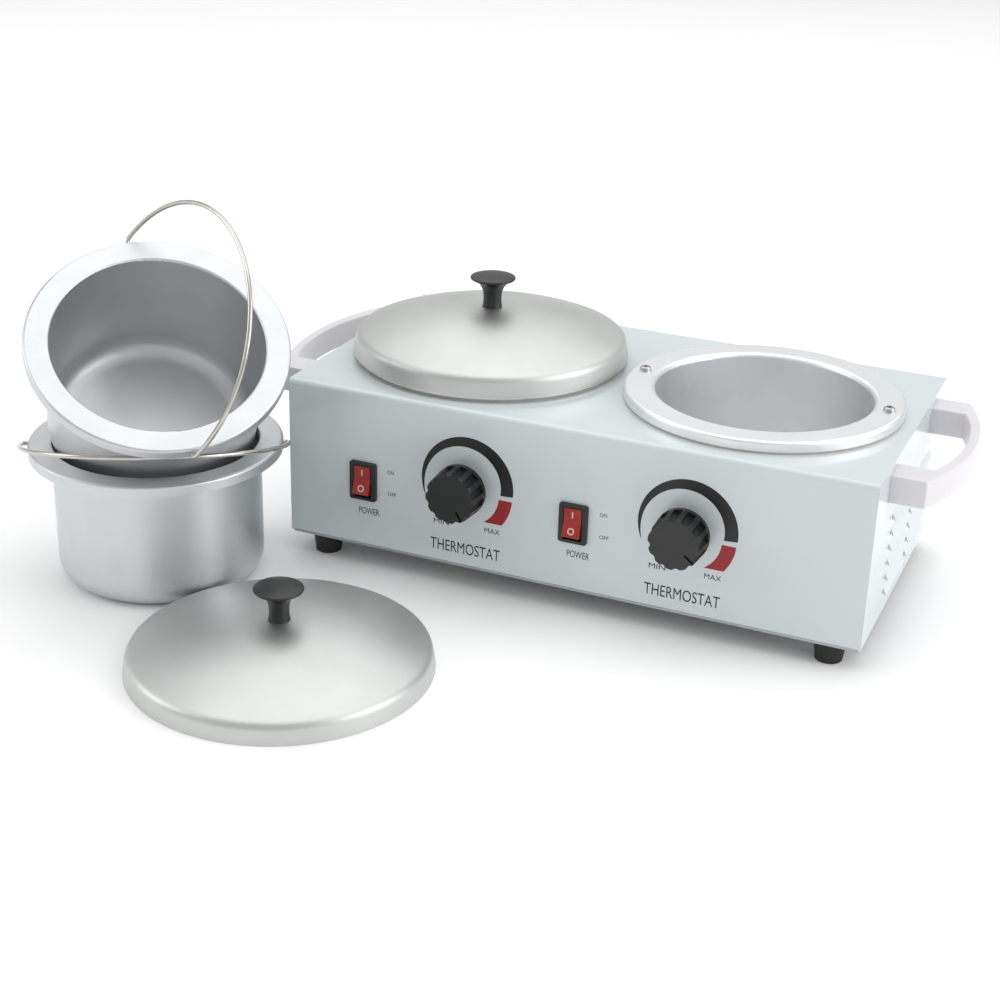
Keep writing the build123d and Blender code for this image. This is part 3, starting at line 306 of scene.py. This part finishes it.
# ---------------------------------------------------------------- mesh tools
def closed_slab(name, face, thickness, outward, material):
    """Closed thin slab from a grid of points of its outer face.

    face is an array (rows, columns, 3), thickness goes from it against outward, and the two
    layers are stitched together along the four edges of the grid.
    """
    rows, columns = face.shape[:2]
    outer = face.reshape(-1, 3)
    inner = outer - np.asarray(outward) * thickness
    index = np.arange(rows * columns).reshape(rows, columns)
    quads = np.stack([index[:-1, :-1], index[1:, :-1], index[1:, 1:], index[:-1, 1:]], -1).reshape(-1, 4)
    edge = np.concatenate([index[0, :-1], index[:-1, -1], index[-1, :0:-1], index[:0:-1, 0]])
    after = np.roll(edge, -1)
    back = rows * columns
    wall = np.stack([edge, after, after + back, edge + back], -1)
    faces = np.concatenate([quads, quads[:, ::-1] + back, wall])
    mesh = bpy.data.meshes.new(name)
    mesh.from_pydata(np.concatenate([outer, inner]).tolist(), [], faces.tolist())
    return finish_mesh(name, mesh, material)


def finish_mesh(name, mesh, material):
    """Turn a mesh's faces outwards, give it its material and put it in the scene."""
    shape = bmesh.new()
    shape.from_mesh(mesh)
    bmesh.ops.remove_doubles(shape, verts=shape.verts, dist=1e-7)
    bmesh.ops.recalc_face_normals(shape, faces=shape.faces)
    shape.to_mesh(mesh)
    shape.free()
    mesh.materials.append(material)
    piece = bpy.data.objects.new(name, mesh)
    bpy.context.scene.collection.objects.link(piece)
    return piece


# ---------------------------------------------------------------- printing on the panel
INK = 0.05 * MM  # how far the print stands off the panel
FILM = 0.04 * MM  # thickness of the scale's ink
PANEL_OUT = (0, -1, 0)


def on_panel(x, z, lift=INK):
    """Points of the front panel, lifted off it."""
    return np.stack([x, np.full_like(x, FRONT - lift), z], -1)


def printed(name, side, x, z, material):
    """Patch of ink beside a dial, from grids of x and z in mm measured from the dial's centre."""
    centre = dials[side]
    face = on_panel(centre.x + x * MM, centre.z + z * MM)
    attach(closed_slab(f"{name}_{side}", face, FILM, PANEL_OUT, material), "warmer")


def dial_scale(side):
    """Printed scale: a black crescent and a red block.

    Crescent: radius runs from inner to 25.1 as the share across goes 0 to 1, with inner falling
    from 25 at its tip to 18.4 as the sine of the share along; its angle runs from 204 to -5 degrees.
    Block: z runs down from -5.1 to -18.9, and x from one circle to another a little outside it.
    """
    along, across = np.meshgrid(np.linspace(0, 1, 97), np.linspace(0, 1, 5), indexing="ij")
    inner = 25.0 - 6.6 * np.sin(along * math.pi / 2) ** 0.8
    radius = inner + (25.1 - inner) * across
    angle = np.radians(204 - (212.6 - 3.3 * across) * along)
    printed("scale_black", side, radius * np.cos(angle), radius * np.sin(angle), BLACK_INK)
    low = 18.1 + 3.0 * along
    high = 25.1 + 1.9 * along
    z = -5.1 - 13.8 * along
    x = np.sqrt(low**2 - z**2) * (1 - across) + np.sqrt(high**2 - z**2) * across
    printed("scale_red", side, x, z, RED_INK)


def lettering(name, text, x, z, height, width):
    """Line of printed capitals centred at x, z: height is the capitals', width the whole line's."""
    curve = bpy.data.curves.new(name, "FONT")
    curve.body = text
    curve.align_x = "CENTER"
    curve.extrude = 0.02
    curve.resolution_u = 4
    maker = bpy.data.objects.new(name, curve)
    bpy.context.scene.collection.objects.link(maker)
    bpy.context.view_layer.update()
    mesh = bpy.data.meshes.new_from_object(maker)
    bpy.data.objects.remove(maker)
    points = np.empty(len(mesh.vertices) * 3)
    mesh.vertices.foreach_get("co", points)
    points = points.reshape(-1, 3)
    low, high = points.min(0), points.max(0)
    share = (points - (low + high) / 2) / (high - low)
    depth = FRONT - INK / 2 - share[:, 2] * INK
    placed = np.stack([x + share[:, 0] * width, depth, z + share[:, 1] * height], -1)
    mesh.vertices.foreach_set("co", placed.ravel())
    piece = finish_mesh(name, mesh, BLACK_INK)
    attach(piece, "warmer")


# Words: their place in mm from the middle of the dial or the switch, then their height and width
DIAL_WORDS = {
    "MIN": (-13.9, -23.4, 2.7, 8.4),
    "MAX": (14.3, -23.1, 2.7, 8.4),
    "THERMOSTAT": (-0.5, -36.0, 6.2, 38.5),
}
SWITCH_WORDS = {
    "POWER": (3.0, -16.8, 3.7, 11.8),
    "ON": (15.2, 7.2, 2.0, 3.8),
    "OFF": (16.0, -4.8, 2.0, 4.8),
}


def panel_print(side):
    """Dial scale and words beside the switch and the dial."""
    dial_scale(side)
    for centre, words in ((dials[side], DIAL_WORDS), (switches[side], SWITCH_WORDS)):
        for word, (x, z, height, width) in words.items():
            name = f"word_{word.lower()}_{side}"
            lettering(name, word, centre.x + x * MM, centre.z + z * MM, height * MM, width * MM)


# ---------------------------------------------------------------- marks on the rockers
HALF_THROW = math.radians(10)
VALLEY = 4.366 * MM  # from the pivot out to the middle of the face
TIP_OUT = 5.706 * MM  # from the pivot out to the face's two ends
TIP = 7.6 * MM  # from the middle of the face to an end
MARK = 0.06 * MM  # how far a mark stands off the face
MARK_FILM = 0.05 * MM


def rocker_face(side, half, u, v):
    """Points on one half of a rocker's face: u mm across, v mm from the valley towards the tip."""
    pivot = np.array(joints[f"rocker_{side}_tip"]["pos_m"])
    out = np.array([0, -math.cos(HALF_THROW), math.sin(HALF_THROW)])
    up = np.array([0, math.sin(HALF_THROW), math.cos(HALF_THROW)])
    along = (TIP_OUT - VALLEY) * out + half * TIP * up
    along = along / np.linalg.norm(along)
    normal = np.cross([1, 0, 0], along) * half
    x = np.array([1.0, 0, 0])
    base = pivot + out * VALLEY + normal * MARK
    return base + u[..., None] * MM * x + v[..., None] * MM * along, normal


def rocker_marks(side):
    """White bar on the upper half and white ring on the lower half of a rocker."""
    v, u = np.meshgrid(np.linspace(2.6, 6.0, 3), np.linspace(-0.35, 0.35, 3), indexing="ij")
    face, normal = rocker_face(side, 1, u, v)
    bar = closed_slab(f"mark_bar_{side}", face, MARK_FILM, normal, WHITE_INK)
    turn, radius = np.meshgrid(np.linspace(0, 2 * math.pi, 49), [1.15, 1.8], indexing="ij")
    face, normal = rocker_face(side, -1, radius * np.sin(turn), 4.2 + radius * np.cos(turn))
    ring = closed_slab(f"mark_ring_{side}", face, MARK_FILM, normal, WHITE_INK)
    for piece in (bar, ring):
        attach(piece, f"rocker_{side}")


# ---------------------------------------------------------------- floor, light and camera
def studio():
    """Plain pale floor, one broad soft light above and two softer ones at the sides."""
    mesh = bpy.data.meshes.new("floor")
    reach = 6.0
    corners = [(-reach, -reach, 0), (reach, -reach, 0), (reach, reach, 0), (-reach, reach, 0)]
    mesh.from_pydata(corners, [], [(0, 1, 2, 3)])
    floor = bpy.data.objects.new("floor", mesh)
    bpy.context.scene.collection.objects.link(floor)
    floor.data.materials.append(plain("paper_white", ("#FBFBFB", "#FFFFFF"), (0.8, 0.9), 300.0))
    world = bpy.data.worlds.new("studio")
    world.use_nodes = True
    world.node_tree.nodes["Background"].inputs["Color"].default_value = (1, 1, 1, 1)
    world.node_tree.nodes["Background"].inputs["Strength"].default_value = 0.62
    bpy.context.scene.world = world
    target = Vector((-0.03, -0.03, 0.06))
    for name, place, size, power in (
        ("light_above", (-0.1, 0.5, 2.0), 3.0, 29),
        ("light_left", (-2.0, -0.8, 1.0), 1.2, 9),
        ("light_right", (2.0, 0.1, 0.9), 1.6, 20),
    ):
        lamp = bpy.data.lights.new(name, "AREA")
        lamp.size = size
        lamp.energy = power
        light = bpy.data.objects.new(name, lamp)
        light.location = place
        light.rotation_euler = (target - Vector(place)).to_track_quat("-Z", "Y").to_euler()
        bpy.context.scene.collection.objects.link(light)


CAM_PLACE = Vector((433.728, -752.541, 406.135)) * MM
CAM_TURN = 0.396
CAM_DOWN = 0.420
CAM_ROLL = 0.030


def camera():
    """Long lens from the front right and above, placed from the box's lower left front corner."""
    corner = Vector((-END, FRONT, BASE))
    lens = bpy.data.cameras.new("camera")
    lens.sensor_width = 36.0
    lens.lens = 64.606
    lens.clip_start = 0.01
    eye = bpy.data.objects.new("camera", lens)
    turn = Matrix.Rotation(CAM_TURN, 4, "Z") @ Matrix.Rotation(math.pi / 2 - CAM_DOWN, 4, "X")
    roll = Matrix.Rotation(CAM_ROLL, 4, "Z")
    eye.matrix_world = Matrix.Translation(corner + CAM_PLACE) @ turn @ roll
    bpy.context.scene.collection.objects.link(eye)
    bpy.context.scene.camera = eye


camera()
studio()
coat_nodes()
for side in SIDES:
    panel_print(side)
    rocker_marks(side)
bpy.context.scene.view_settings.view_transform = "Standard"
